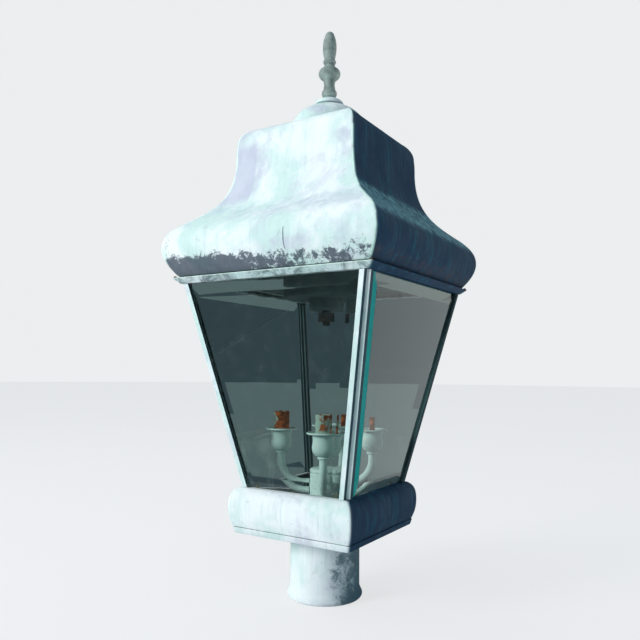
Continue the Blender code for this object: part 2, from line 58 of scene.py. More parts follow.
# The camera stands this far from the axis and this high, in metres. Its angles are in degrees.
CAMERA_AWAY = 0.7662
CAMERA_HEIGHT = 0.2597
CAMERA_TURN = 31.92
CAMERA_RISE = 4.57
CAMERA_ROLL = 0.55
CAMERA_LENS = 35.87
CAMERA_SHIFT = (-0.0112, -0.0016)
LAMP_AIM = 0.34
FLOOR_REACH = 12
FLOOR_DROP = 0.0004


# ---------------------------------------------------------------- outlines

def span(node):
    """A CAD node's lowest and highest z, in millimetres."""
    low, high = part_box(node)
    return low.z / MM, high.z / MM


def middle(node):
    """The centre of a CAD node's box seen from above, in metres."""
    low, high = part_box(node)
    return Vector(((low.x + high.x) / 2, (low.y + high.y) / 2, 0))


def bezier(a, b, c, d, steps=12):
    points = []
    for step in range(steps + 1):
        t = step / steps
        u = 1 - t
        weights = (u**3, 3 * u * u * t, 3 * u * t * t, t**3)
        points.append(tuple(sum(k * p[axis] for k, p in zip(weights, (a, b, c, d))) for axis in (0, 1)))
    return points


def arc(centre, radii, start, end, steps=8):
    """Points of an ellipse from one angle to another, in degrees from level."""
    angles = [math.radians(start + (end - start) * step / steps) for step in range(steps + 1)]
    return [(centre[0] + radii[0] * math.cos(a), centre[1] + radii[1] * math.sin(a)) for a in angles]


def joined(*stretches):
    """One outline from several, without its repeated points."""
    points = []
    for stretch in stretches:
        for point in stretch:
            if not points or math.dist(point, points[-1]) > 0.02:
                points.append(point)
    return points


def thick(outline, sheet=SHEET):
    """A closed section: the outline, and the same outline one sheet further in."""
    inside = []
    for place, (w, z) in enumerate(outline):
        before = Vector(outline[max(place - 1, 0)])
        after = Vector(outline[min(place + 1, len(outline) - 1)])
        along = (after - before).normalized()
        inside.append((w - along.y * sheet, z + along.x * sheet))
    return outline + inside[::-1]


# ---------------------------------------------------------------- meshes

def uneven(point, amount, size, seed=0.0):
    """A smooth random distance from 0 to amount. Its dents are about size across, in millimetres."""
    return amount * (0.5 + 0.5 * noise.noise(Vector(point) / size + Vector((seed, seed, 0))))


def finish(name, mesh, sharp=35):
    """The object of a bmesh, facing out and shaded smooth but for its sharp edges."""
    bmesh.ops.remove_doubles(mesh, verts=mesh.verts, dist=1e-6)
    bmesh.ops.recalc_face_normals(mesh, faces=mesh.faces)
    data = bpy.data.meshes.new(name)
    mesh.to_mesh(data)
    mesh.free()
    data.shade_smooth()
    data.set_sharp_from_angle(angle=math.radians(sharp))
    piece = bpy.data.objects.new(name, data)
    bpy.context.scene.collection.objects.link(piece)
    return piece


def soften(piece, width, steps=2, angle=35):
    """Rounds a piece's sharp edges, as a press or a file leaves them."""
    bevel = piece.modifiers.new("soft_edges", "BEVEL")
    bevel.width = width * MM
    bevel.segments = steps
    bevel.limit_method = "ANGLE"
    bevel.angle_limit = math.radians(angle)
    bevel.harden_normals = True
    return piece


def bridged(mesh, rings, loop):
    """Faces between rings of vertices. A ring of one vertex is a pole."""
    pairs = list(zip(rings, rings[1:]))
    if loop:
        pairs.append((rings[-1], rings[0]))
    for lower, upper in pairs:
        count = max(len(lower), len(upper))
        for step in range(count if count > 1 else 0):
            ahead = (step + 1) % count
            corners = [lower[step % len(lower)], lower[ahead % len(lower)]]
            corners += [upper[ahead % len(upper)], upper[step % len(upper)]]
            mesh.faces.new(list(dict.fromkeys(corners)))


def turned(name, section, steps=72, dents=0.0, size=25.0, seed=0.0, at=(0, 0, 0)):
    """A turned piece. A section that starts and ends on the axis is solid, and any other is a closed loop."""
    mesh = bmesh.new()
    rings = []
    for r, z in section:
        ring = []
        for step in range(steps if r else 1):
            angle = 2 * math.pi * step / steps
            across = Vector((math.cos(angle), math.sin(angle), 0))
            point = across * r + Vector((0, 0, z))
            if r > BORE:
                point -= across * uneven(point, dents, size, seed)
            ring.append(mesh.verts.new(point * MM))
        rings.append(ring)
    bridged(mesh, rings, loop=section[0][0] > 0 or section[-1][0] > 0)
    piece = finish(name, mesh)
    piece.location = at
    return piece


def rounded_square(w, corner, across, round_steps):
    """Points round a square of half-width w, one side and one corner at a time."""
    corner = min(corner, w * 0.6)
    reach = w - corner
    side = [(-reach + 2 * reach * step / across, -w) for step in range(across + 1)]
    for step in range(1, round_steps):
        angle = math.pi / 2 * step / round_steps
        side.append((reach + corner * math.sin(angle), -reach - corner * math.cos(angle)))
    turns = [Matrix.Rotation(math.pi / 2 * quarter, 2) for quarter in range(4)]
    return [turn @ Vector(point) for turn in turns for point in side]


def squared(name, section, corner=2.0, across=2, round_steps=4, dents=0.0, size=60.0, bead=0.0, sharp=35):
    """A section carried round a square with rounded corners.

    Dents press the sheet in, and a bead lifts its corners.
    """
    mesh = bmesh.new()
    rings = []
    for w, z in section:
        ring = []
        for spot in rounded_square(w, corner, across, round_steps):
            point = Vector((spot.x, spot.y, z))
            outwards = Vector((spot.x, spot.y, 0)).normalized()
            hip = min(1.0, abs(abs(spot.x) - abs(spot.y)) / (corner * 1.6))
            point -= outwards * (uneven(point, dents, size) * hip - bead * (1 - hip) ** 2)
            ring.append(mesh.verts.new(point * MM))
        rings.append(ring)
    bridged(mesh, rings, loop=section[0][0] > 0 or section[-1][0] > 0)
    return finish(name, mesh, sharp)


def swept(name, path, radius, turn, steps=20):
    """A round bar along a path of (distance from the axis, height) points, turned by turn degrees about z."""
    mesh = bmesh.new()
    rings = []
    for place, (r, z) in enumerate(path):
        before = Vector(path[max(place - 1, 0)])
        after = Vector(path[min(place + 1, len(path) - 1)])
        along = (after - before).normalized()
        ring = []
        for step in range(steps):
            angle = 2 * math.pi * step / steps
            lift = radius * math.cos(angle)
            point = Vector((r - along.y * lift, radius * math.sin(angle), z + along.x * lift))
            ring.append(mesh.verts.new(point * MM))
        rings.append(ring)
    rings = [[mesh.verts.new(Vector((path[0][0], 0, path[0][1])) * MM)], *rings]
    rings.append([mesh.verts.new(Vector((path[-1][0], 0, path[-1][1])) * MM)])
    bridged(mesh, rings, loop=False)
    mesh.transform(Matrix.Rotation(math.radians(turn), 4, "Z"))
    return finish(name, mesh)


def refined(name, node, bevel=0.25, sharp=30):
    """A CAD node's own shape with its edges rounded."""
    mesh = bmesh.new()
    mesh.from_mesh(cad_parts[node].data)
    bmesh.ops.remove_doubles(mesh, verts=mesh.verts, dist=1e-6)
    bmesh.ops.dissolve_limit(mesh, angle_limit=math.radians(0.5), verts=mesh.verts, edges=mesh.edges)
    piece = finish(name, mesh, sharp)
    return soften(piece, bevel, angle=sharp) if bevel else piece


def carved(piece, cutter):
    """Cuts a piece with a helper, and removes the helper."""
    boolean = piece.modifiers.new("cut", "BOOLEAN")
    boolean.operation = "DIFFERENCE"
    boolean.object = cutter
    bpy.context.view_layer.update()
    evaluated = piece.evaluated_get(bpy.context.evaluated_depsgraph_get())
    cut = bpy.data.meshes.new_from_object(evaluated)
    piece.modifiers.remove(boolean)
    piece.data = cut
    bpy.data.objects.remove(cutter)
    return piece


def slotted_head(name, outline, slot_width, slot_depth, reach, turn=0.0, lean=None, at=(0, 0, 0)):
    """A screw with a slot across its head. It is made upright, then leant over and moved into place."""
    piece = turned(name, outline, steps=32)
    top = max(z for _, z in outline)
    mesh = bmesh.new()
    bmesh.ops.create_cube(mesh, size=1)
    mesh.transform(Matrix.Diagonal((2 * reach * MM, slot_width * MM, 2 * slot_depth * MM, 1)))
    mesh.transform(Matrix.Rotation(math.radians(turn), 4, "Z"))
    mesh.transform(Matrix.Translation((0, 0, top * MM)))
    carved(piece, finish("slot_cutter", mesh))
    piece.data.transform(Matrix.Translation(at) @ (lean or Matrix.Identity(4)))
    return soften(piece, 0.12)


# ---------------------------------------------------------------- materials

def tint(red, green, blue):
    """A colour from its 0 to 255 display values."""
    channels = [value / 255 for value in (red, green, blue)]
    linear = [c / 12.92 if c <= 0.04045 else ((c + 0.055) / 1.055) ** 2.4 for c in channels]
    return (*linear, 1.0)


def wired(tree, kind, inputs=None, **settings):
    """A new node of a tree. Each of its inputs takes a value, or a link from another node's socket."""
    node = tree.nodes.new(kind)
    for key, value in settings.items():
        setattr(node, key, value)
    for key, value in (inputs or {}).items():
        if isinstance(value, bpy.types.NodeSocket):
            tree.links.new(value, node.inputs[key])
        else:
            node.inputs[key].default_value = value
    return node


class Shader:
    """A material's nodes, added one after another. Places are object coordinates, in metres."""

    def __init__(self, name, metallic=0.0):
        self.material = bpy.data.materials.new(name)
        self.material.use_nodes = True
        self.tree = self.material.node_tree
        self.surface = self.tree.nodes["Principled BSDF"]
        self.surface.inputs["Metallic"].default_value = metallic
        self.surface.inputs["Specular IOR Level"].default_value = 0.12
        where = self.add("ShaderNodeTexCoord").outputs
        self.place = where["Object"]
        self.x, self.y, self.z = self.add("ShaderNodeSeparateXYZ", {0: self.place}).outputs
        self.facing_x = self.add("ShaderNodeSeparateXYZ", {0: where["Normal"]}).outputs[0]

    def add(self, kind, inputs=None, **settings):
        return wired(self.tree, kind, inputs, **settings)

    def math(self, operation, first, second=0.0):
        return self.add("ShaderNodeMath", {0: first, 1: second}, operation=operation).outputs[0]

    def times(self, first, second):
        return self.math("MULTIPLY", first, second)

    def plus(self, first, second):
        return self.math("ADD", first, second)

    def stretched(self, x, y, z):
        return self.add("ShaderNodeMapping", {"Vector": self.place, "Scale": (x, y, z)}).outputs[0]

    def noise(self, scale, detail=4.0, roughness=0.55, warp=0.0, place=None):
        inputs = {"Vector": place or self.place, "Scale": scale, "Detail": detail}
        inputs.update({"Roughness": roughness, "Distortion": warp})
        return self.add("ShaderNodeTexNoise", inputs).outputs["Fac"]

    def cells(self, scale):
        return self.add("ShaderNodeTexVoronoi", {"Vector": self.place, "Scale": scale}).outputs["Distance"]

    def ramp(self, value, low, high):
        """0 where the value is at low, 1 where it is at high, and smooth between them."""
        inputs = {"Value": value, 1: low, 2: high, 3: 0.0, 4: 1.0}
        return self.add("ShaderNodeMapRange", inputs, interpolation_type="SMOOTHSTEP").outputs[0]

    def blend(self, factor, first, second):
        return self.add("ShaderNodeMix", {0: factor, 6: first, 7: second}, data_type="RGBA").outputs[2]

    def bump(self, *layers):
        """Each layer is a height from 0 to 1 and its depth in millimetres."""
        normal = None
        for height, depth in layers:
            inputs = {"Height": height, "Distance": depth * MM, "Strength": 1.0}
            if normal:
                inputs["Normal"] = normal
            normal = self.add("ShaderNodeBump", inputs).outputs[0]
        self.tree.links.new(normal, self.surface.inputs["Normal"])

    def done(self, colour, roughness):
        self.tree.links.new(colour, self.surface.inputs["Base Color"])
        self.tree.links.new(roughness, self.surface.inputs["Roughness"])
        return self.material


PALE = tint(220, 227, 228)
MINT = tint(190, 213, 209)
TEAL = tint(112, 156, 158)
LAVENDER = tint(182, 186, 200)
NAVY = tint(30, 42, 56)
BROWN = tint(140, 126, 118)
ORANGE = tint(212, 112, 50)
# Colours of the painted shade on the lantern's right side.
SHADE = tint(0, 52, 84)
SHADE_LIGHT = tint(8, 90, 112)


def patina(name, cover=0.5, runs=0.5, stains=0.35, specks=0.5, paint=None):
    """Copper grown over with verdigris: pale bloom on mint, rain streaks, stains and bare dark specks."""
    s = Shader(name)
    clouds = s.noise(15, 6, 0.6, 0.4)
    colour = s.blend(s.ramp(clouds, 0.66 - cover * 0.4, 0.86 - cover * 0.4), MINT, PALE)
    film = s.noise(42, 7, 0.68)
    haze = s.times(s.ramp(s.noise(11, 4, 0.6, 0.8), 0.48, 0.66), s.ramp(film, 0.35, 0.6))
    colour = s.blend(s.times(haze, 0.75), colour, LAVENDER)
    streaks = s.noise(240, 5, 0.6, 0.2, s.stretched(1, 1, 0.05))
    colour = s.blend(s.times(s.ramp(streaks, 0.5, 0.76), runs * 0.55), colour, TEAL)
    pale_runs = s.noise(170, 4, 0.5, 0.2, s.stretched(1, 1, 0.04))
    colour = s.blend(s.times(s.ramp(pale_runs, 0.55, 0.72), runs * 0.6), colour, tint(226, 240, 238))
    stain = s.times(s.ramp(s.noise(26, 6, 0.75, 1.0), 0.6, 0.7), s.ramp(film, 0.42, 0.6))
    colour = s.blend(s.times(stain, stains), colour, BROWN)
    grain = s.noise(620, 4, 0.75)
    colour = s.blend(s.times(s.ramp(grain, 0.56, 0.8), 0.3), colour, TEAL)
    if paint:
        colour = paint(s, colour)
    pits = s.times(s.ramp(s.cells(360), 0.24, 0.06), s.ramp(s.noise(60, 5, 0.65), 0.56, 0.68))
    colour = s.blend(s.times(pits, specks), colour, NAVY)
    roughness = s.plus(s.times(film, 0.35), 0.42)
    s.bump((clouds, 0.5), (streaks, 0.1), (grain, 0.1), (s.math("SUBTRACT", 1.0, pits), 0.12))
    return s.done(colour, roughness)


def side_mask(s, axis, other, soft=0.004):
    """1 on the side of the lantern that faces along axis."""
    return s.ramp(s.math("SUBTRACT", axis, s.math("ABSOLUTE", other)), -soft, soft)


def hip_lines(s, near, far):
    """1 along the four corners, where |x| and |y| are nearly the same."""
    gap = s.math("SUBTRACT", s.math("ABSOLUTE", s.x), s.math("ABSOLUTE", s.y))
    return s.ramp(s.math("ABSOLUTE", gap), far, near)


def band(s, foot, start, end, soft):
    """1 between two heights over foot, in millimetres, fading out over soft metres past each."""
    above = s.ramp(s.z, (foot + start) * MM - soft, (foot + start) * MM)
    return s.times(above, s.ramp(s.z, (foot + end) * MM + soft, (foot + end) * MM))


def paint_side_shade(s, colour):
    """Painted shade: the right side, turned from the lamps, is painted dark blue-green, streaked a little
    lighter.
    """
    streaks = s.noise(130, 5, 0.65, 0.3, s.stretched(1, 1, 0.12))
    shade = s.blend(s.ramp(streaks, 0.45, 0.75), SHADE, SHADE_LIGHT)
    return s.blend(s.times(side_mask(s, s.x, s.y), 0.98), colour, shade)


def paint_upper_roof(s, colour, foot, front):
    """Greyer bloom at the front's upper left, painted shade in the crease, and painted skylight in pale
    streaks where the shaded side sweeps upward.
    """
    patch = s.times(band(s, foot, 92, 150, 0.012), s.ramp(s.x, -0.048, -0.051))
    colour = s.blend(s.times(s.times(patch, front), 0.7), colour, tint(176, 180, 198))
    # Painted shade: the concave crease is darkened grey-blue.
    crease = s.times(band(s, foot, 62, 76, 0.010), s.ramp(s.noise(30, 5, 0.7), 0.4, 0.6))
    colour = s.blend(s.times(crease, 0.5), colour, tint(164, 182, 194))
    # Painted skylight: on the shaded right side, the upward sweep gets pale teal streaks where the sky's
    # light would fall.
    bloom = s.blend(side_mask(s, s.x, s.y), colour, tint(150, 206, 212))
    streaks = s.noise(190, 5, 0.65, 0.3, s.stretched(1, 1, 0.3))
    skylit_ledge = s.times(band(s, foot, 54, 84, 0.012), s.ramp(streaks, 0.34, 0.66))
    return s.blend(s.times(skylit_ledge, 0.75), paint_side_shade(s, colour), bloom)


def paint_soot(s, colour, foot):
    """Soot with a speckled edge, thickest at the hem and to the left."""
    left = s.ramp(s.x, 0.06, -0.11)
    under = s.times(s.ramp(s.z, (foot + 34) * MM, (foot + 6) * MM), s.plus(s.times(left, 0.4), 0.56))
    speckle = s.times(s.math("SUBTRACT", s.noise(90, 9, 0.78, 0.4), 0.5), 1.9)
    soot = s.ramp(s.plus(under, speckle), 0.46, 0.62)
    return s.blend(s.times(soot, 0.88), colour, s.blend(s.noise(200, 3), tint(34, 44, 58), tint(72, 82, 100)))


def paint_hips(s, colour, foot, front):
    """Dark flecks near the hips, one split in the front sheet, and bright solder along the hips."""
    flecks = s.times(s.ramp(s.noise(330, 6, 0.75), 0.56, 0.64), s.ramp(s.noise(34, 3), 0.5, 0.62))
    near_hip = s.times(hip_lines(s, 0.004, 0.03), band(s, foot, 8, 44, 0.01))
    colour = s.blend(s.times(s.times(flecks, near_hip), 0.8), colour, NAVY)
    split = s.math("ABSOLUTE", s.plus(s.plus(s.x, -0.036), s.times(s.noise(60, 3), 0.006)))
    split = s.times(s.ramp(split, 0.0009, 0.0003), band(s, foot, 18, 36, 0.004))
    colour = s.blend(s.times(s.times(split, front), 0.8), colour, NAVY)
    solder = s.times(hip_lines(s, 0.0012, 0.0032), s.ramp(s.noise(60, 3), 0.3, 0.55))
    return s.blend(s.times(solder, 0.75), colour, tint(206, 240, 226))


def paint_roof(s, colour):
    """The roof's weathering, painted shade and painted skylight, from its crown to its hem."""
    foot, _ = span("roof_panel_front")
    front = side_mask(s, s.times(s.y, -1.0), s.x)
    colour = paint_upper_roof(s, colour, foot, front)
    colour = paint_soot(s, colour, foot)
    return paint_hips(s, colour, foot, front)


def paint_dark_and_shaded(s, colour):
    """Sheltered copper, mostly dark with bloom in patches. The dark is partly the copper's own and partly
    painted shade, for surfaces under the roof and inside the cage.
    """
    patches = s.ramp(s.noise(24, 6, 0.7, 0.8), 0.4, 0.68)
    # Partly the copper's own dark, partly painted shade.
    sheltered_shade = s.blend(patches, tint(30, 58, 66), tint(70, 84, 84))
    return s.blend(0.82, colour, sheltered_shade)


def paint_post_shade(s, colour):
    """Painted shade: faces turned towards +x are painted dark, and so are the two posts at the back."""
    away = s.ramp(s.facing_x, 0.2, 0.6)
    # Painted shade on the faces turned towards +x.
    colour = s.blend(s.times(away, 0.92), colour, tint(6, 60, 76))
    # Painted shade on the two posts at the back.
    return s.blend(s.times(s.ramp(s.y, -0.01, 0.01), 0.88), colour, tint(24, 58, 66))


def paint_fitter_shade(s, colour):
    """Painted shade: the right half of the tube, turned from the lamps, is mottled dark."""
    mottle = s.times(s.math("SUBTRACT", s.noise(60, 7, 0.75, 0.4), 0.5), 1.6)
    shade_reach = s.plus(s.plus(s.times(s.x, 16.0), mottle), s.times(s.y, 5.0))
    # The dark colour of the painted shade.
    skin = s.blend(s.noise(200, 4, 0.7), tint(6, 60, 78), tint(96, 132, 140))
    return s.blend(s.times(s.ramp(shade_reach, 0.28, 0.62), 0.85), colour, skin)


def paint_rim(s, colour):
    """Dark patches where the roof drips, a brighter band along its top edge, and painted shade on the right
    side.
    """
    _, top = span("top_rim")
    edge = s.ramp(s.z, top * MM - 0.0016, top * MM - 0.0004)
    patches = s.ramp(s.noise(36, 6, 0.75, 0.7), 0.42, 0.62)
    colour = s.blend(s.times(patches, 0.75), colour, tint(40, 66, 74))
    colour = s.blend(s.times(edge, 0.6), colour, tint(196, 220, 210))
    # Painted shade on the right side.
    return paint_side_shade(s, colour)


def paint_candle(s, colour):
    """Pale bloom, with rust washed down the left of the cluster and dark specks in patches."""
    colour = s.blend(0.62, colour, tint(228, 250, 244))
    wash = s.times(s.ramp(s.noise(60, 5, 0.65, 0.6), 0.5, 0.7), s.ramp(s.z, 0.12, 0.19))
    wash = s.times(wash, s.ramp(s.x, 0.01, -0.03))
    colour = s.blend(s.times(wash, 0.85), colour, tint(246, 176, 116))
    speckle = s.times(s.ramp(s.noise(300, 6, 0.75), 0.54, 0.64), s.ramp(s.noise(40, 3), 0.42, 0.6))
    return s.blend(s.times(speckle, 0.5), colour, tint(84, 128, 132))


def rust(name, bloom):
    """Rusty steel, with some of the copper's bloom washed onto it."""
    s = Shader(name, 0.15)
    crust = s.noise(160, 7, 0.7, 0.4)
    colour = s.blend(s.ramp(crust, 0.38, 0.62), tint(110, 52, 24), ORANGE)
    colour = s.blend(s.ramp(s.noise(420, 4, 0.7), 0.6, 0.72), colour, tint(58, 34, 26))
    wash = s.ramp(s.plus(s.noise(90, 4, 0.6, 0.8), s.times(s.x, -14.0)), 0.62 - bloom, 0.72 - bloom)
    colour = s.blend(wash, colour, tint(176, 196, 184))
    s.bump((crust, 0.7), (s.noise(900, 3), 0.15))
    return s.done(colour, s.plus(s.times(crust, 0.2), 0.7))


def bronze(name, metal=0.45):
    """Old bronze under a thin grey-green skin, with darker rings and runs."""
    s = Shader(name, metal)
    clouds = s.noise(90, 6, 0.65, 0.4)
    colour = s.blend(s.ramp(clouds, 0.35, 0.65), tint(150, 164, 158), tint(182, 196, 188))
    bands = s.ramp(s.noise(260, 3, 0.5, 0.0, s.stretched(0.02, 0.02, 1)), 0.5, 0.7)
    colour = s.blend(s.times(bands, 0.5), colour, tint(104, 118, 118))
    runs = s.noise(420, 4, 0.6, 0.2, s.stretched(1, 1, 0.08))
    colour = s.blend(s.times(s.ramp(runs, 0.55, 0.72), 0.35), colour, tint(74, 86, 90))
    s.bump((clouds, 0.12), (runs, 0.05), (s.noise(1500, 2), 0.03))
    return s.done(colour, s.plus(s.times(clouds, 0.25), 0.32))


def metal_finish(name, base, worn, roughness, metal=0.85):
    """Plain screw metal, tarnished in patches."""
    s = Shader(name, metal)
    patches = s.noise(260, 6, 0.65)
    colour = s.blend(s.ramp(patches, 0.42, 0.66), base, worn)
    s.bump((patches, 0.08), (s.noise(1800, 2), 0.02))
    return s.done(colour, s.plus(s.times(patches, 0.25), roughness))


def glass(name):
    """Clear glass under a thin film. The right pane's near bevel is painted teal: partly the thick edge's own
    tint, partly painted refraction of the patina behind it. Lamps shine through it.
    """
    s = Shader(name)
    s.surface.inputs["Base Color"].default_value = tint(244, 251, 249)
    s.surface.inputs["Transmission Weight"].default_value = 1.0
    s.surface.inputs["Roughness"].default_value = 0.0
    s.surface.inputs["IOR"].default_value = 1.5
    s.bump((s.noise(14, 2, 0.4), 0.05))
    half_at_floor, lean = 0.0436, 0.2205
    from_corner = s.plus(s.plus(s.times(s.z, lean), half_at_floor), s.y)
    right_side = s.math("GREATER_THAN", s.x, s.math("ABSOLUTE", s.y))
    # Painted teal on the right pane's near bevel: the thick edge's own tint, and painted refraction of the
    # patina behind it.
    tinted_refracting_bevel = s.times(s.ramp(from_corner, 0.0222, 0.0212), right_side)
    film = s.times(s.ramp(s.noise(60, 6, 0.7), 0.5, 0.85), 0.04)
    film = s.plus(film, s.times(tinted_refracting_bevel, 0.62))
    bevel_tint_and_refraction = s.blend(tinted_refracting_bevel, tint(190, 206, 204), tint(0, 206, 194))
    dust_and_refraction = s.add("ShaderNodeBsdfDiffuse", {"Color": bevel_tint_and_refraction}).outputs[0]
    dusty_and_refracting = s.add("ShaderNodeMixShader", {0: film, 1: s.surface.outputs[0], 2: dust_and_refraction}).outputs[0]
    clear = s.add("ShaderNodeBsdfTransparent", {"Color": tint(240, 248, 246)}).outputs[0]
    lamp = s.add("ShaderNodeLightPath").outputs["Is Shadow Ray"]
    both = s.add("ShaderNodeMixShader", {0: lamp, 1: dusty_and_refracting, 2: clear}).outputs[0]
    s.tree.links.new(both, s.tree.nodes["Material Output"].inputs["Surface"])
    return s.material


# ---------------------------------------------------------------- pieces

def show(piece, material, nodes, body="lantern"):
    """Gives a piece its material, its body and the CAD nodes that it stands for."""
    piece.data.materials.clear()
    piece.data.materials.append(material)
    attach(piece, body)
    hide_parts(*nodes)
    return piece


def screw_line(number):
    """A set screw's height on the axis, and the way it points outwards."""
    low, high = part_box(f"set_screw_{number}")
    centre = (low + high) / 2
    return Vector((0, 0, centre.z)), Vector((centre.x, centre.y, 0)).normalized()


def build_fitter():
    """The socket that slips over the post, rolled at its foot, with a hole for each set screw."""
    foot, top = span("post_fitter")
    bore, wall = 38.5, 40.5
    outline = joined(
        [(bore, foot), (42.0, foot)],
        arc((41.6, foot + 3.2), (2.2, 3.0), -60, 60, 8),
        bezier((41.9, foot + 8.2), (41.0, foot + 9.6), (wall, foot + 11), (wall, foot + 13), 6),
        [(wall, foot + 30), (wall, foot + 48), (wall, top - 0.4), (wall - 0.4, top), (bore, top)],
    )
    piece = turned("fitter_tube", outline, steps=120, dents=0.3, size=30)
    hole, centre, length = 2.8 * MM, 40 * MM, 12 * MM
    for number in (1, 2):
        height, outwards = screw_line(number)
        mesh = bmesh.new()
        bmesh.ops.create_cone(mesh, cap_ends=True, segments=32, radius1=hole, radius2=hole, depth=length)
        mesh.transform(outwards.to_track_quat("Z", "Y").to_matrix().to_4x4())
        mesh.transform(Matrix.Translation(outwards * centre + height))
        carved(piece, finish("screw_hole", mesh))
    skin = patina("fitter_verdigris", 0.85, 0.4, 0.3, 0.9, paint_fitter_shade)
    show(piece, skin, ["post_fitter"])


def build_set_screws():
    """The screws that clamp the fitter to its post. Their outlines run outwards from the axis."""
    metal = metal_finish("set_screw_steel", tint(120, 118, 108), tint(78, 96, 90), 0.4)
    tip, shank = 38.8, 2.5
    seat, crown, head = 44.7, 48.5, 4.4
    outline = [(0, tip), (shank - 0.6, tip), (shank, tip + 0.7)]
    for groove in range(7):
        outline += [(shank - 0.35, tip + 1.1 + groove * 0.8), (shank, tip + 1.5 + groove * 0.8)]
    outline += [(shank, seat), (head, seat), (head, crown - 0.9), (head - 0.6, crown), (0, crown)]
    for number in (1, 2):
        node = f"set_screw_{number}"
        height, outwards = screw_line(number)
        lean = Vector((0, 0, 1)).rotation_difference(outwards).to_matrix().to_4x4()
        piece = slotted_head(f"set_screw_{number}_fine", outline, 1.0, 1.1, 6, 30, lean, height)
        show(piece, metal, [node], node)


def build_base():
    """The flared pan over the fitter, and the bulging skirt above it."""
    foot, lip = span("bottom_pan")
    pan = joined(
        [(8.0, foot), (74.4, foot), (75.2, foot + 0.8), (76.7, lip - 0.5), (76.4, lip), (75.6, lip)],
        [(74.4, foot + 1.4), (8.0, foot + 1.2)],
    )
    # The pan and skirt take painted shade on their right side.
    verdigris = patina("base_verdigris", 0.8, 0.5, 0.55, 0.7, paint_side_shade)
    show(squared("base_pan", pan, 1.2, across=24, dents=0.3), verdigris, ["bottom_pan"])
    low, high = span("skirt_front")
    outline = joined(
        bezier((76.3, low), (79.5, low + 7), (80.9, low + 14), (80.9, low + 22), 10),
        bezier((80.9, low + 22), (80.9, low + 32), (79.5, low + 39), (73.2, high - 0.6), 12),
        [(72.2, high), (64.8, high)],
    )
    skirt = squared("base_skirt", thick(outline), 2.2, across=24, dents=0.7, size=38, bead=0.3)
    show(skirt, verdigris, [f"skirt_{face}" for face in FACES])


def build_tray():
    copper = patina("tray_copper", 0.2, 0.3, 0.8, 0.9, paint_dark_and_shaded)
    show(refined("tray_plate", "tray", 0.2), copper, ["tray"])
    metal = metal_finish("tray_screw_brass", tint(196, 190, 160), tint(120, 132, 120), 0.35)
    for number in range(1, 5):
        node = f"tray_screw_{number}"
        foot, top = span(node)
        under = top - 3.2
        outline = [(0, foot), (1.9, foot), (1.9, under), (3.4, under + 0.6)]
        outline += [*arc((0, under + 0.8), (3.8, 2.4), 0, 84, 7), (0, top)]
        piece = slotted_head(f"{node}_fine", outline, 0.9, 1.0, 6, 24 * number, at=middle(node))
        show(piece, metal, [node])


def build_cage():
    """Corner posts, the rim over them, its screws and the bevelled panes."""
    frame_skin = patina("post_verdigris", 0.5, 0.5, 0.3, 0.5, paint_post_shade)
    for corner in CORNERS:
        node = f"corner_post_{corner}"
        show(refined(f"corner_channel_{corner}", node, 0.18), frame_skin, [node])
    rim_skin = patina("rim_verdigris", 0.45, 0.5, 0.6, 0.9, paint_rim)
    show(refined("rim_channel", "top_rim", 0.22), rim_skin, ["top_rim"])
    copper = metal_finish("rim_screw_copper", tint(196, 128, 112), tint(128, 88, 78), 0.35)
    for corner in CORNERS:
        node = f"rim_screw_{corner}"
        foot, top = span(node)
        outline = [(0, foot), (1.9, foot), (1.9, foot + 0.5), (1.4, foot + 1.2), (0.8, top - 0.05), (0, top)]
        piece = slotted_head(f"{node}_fine", outline, 0.4, 0.5, 3, 40, at=middle(node))
        show(piece, copper, [node])
    clear = glass("pane_glass")
    for face in FACES:
        node = f"glass_pane_{face}"
        show(refined(f"bevelled_pane_{face}", node, 0, 3), clear, [node])


def build_roof():
    """The bell-shaped roof: four sheets soldered along their hips."""
    low, top = span("roof_panel_front")
    bulge, neck, opening = 139.0, 80.0, 20.0
    widest, waist = low + 32, low + 142
    outline = joined(
        [(119.0, low)],
        bezier((125.0, low), (131.0, low + 7.5), (bulge, low + 19), (bulge, widest), 14),
        bezier((bulge, widest), (bulge, widest + 11), (134.5, low + 50), (124.0, low + 59.5), 12),
        bezier((124.0, low + 59.5), (98.5, low + 78.5), (80.5, low + 93), (neck, waist), 24),
        [(neck, waist + 6), (neck - 0.2, waist + 12)],
        arc((neck - 23.2, top - 25.3), (22.5, 22.5), 0, 76, 10),
        [(48.0, top), (36.0, top), (opening, top)],
    )
    piece = squared("roof_skin", thick(outline), 3.0, across=40, dents=1.3, size=46, bead=0.35)
    skin = patina("roof_verdigris", 0.62, 0.35, 0.3, 0.5, paint_roof)
    show(piece, skin, [f"roof_panel_{face}" for face in FACES], "roof")


def build_ceiling():
    copper = patina("ceiling_copper", 0.2, 0.1, 0.6, 0.5, paint_dark_and_shaded)
    show(refined("ceiling_sheet", "ceiling_plate", 0.2), copper, ["ceiling_plate"], "roof")
    low, top = span("ceiling_dish")
    step = low + 14
    outline = joined(
        [(BORE, low), (19.0, low)],
        arc((19.0, low + 2), (2.0, 2.0), -90, 0, 5),
        [(21.0, step - 1.0), (22.0, step), (48.0, step)],
        arc((48.0, step + 4), (4.0, 4.0), -90, 0, 6),
        [(52.0, top)],
    )
    dish = turned("ceiling_bowl", thick(outline), 96, 0.2)
    show(dish, copper, ["ceiling_dish"], "roof")


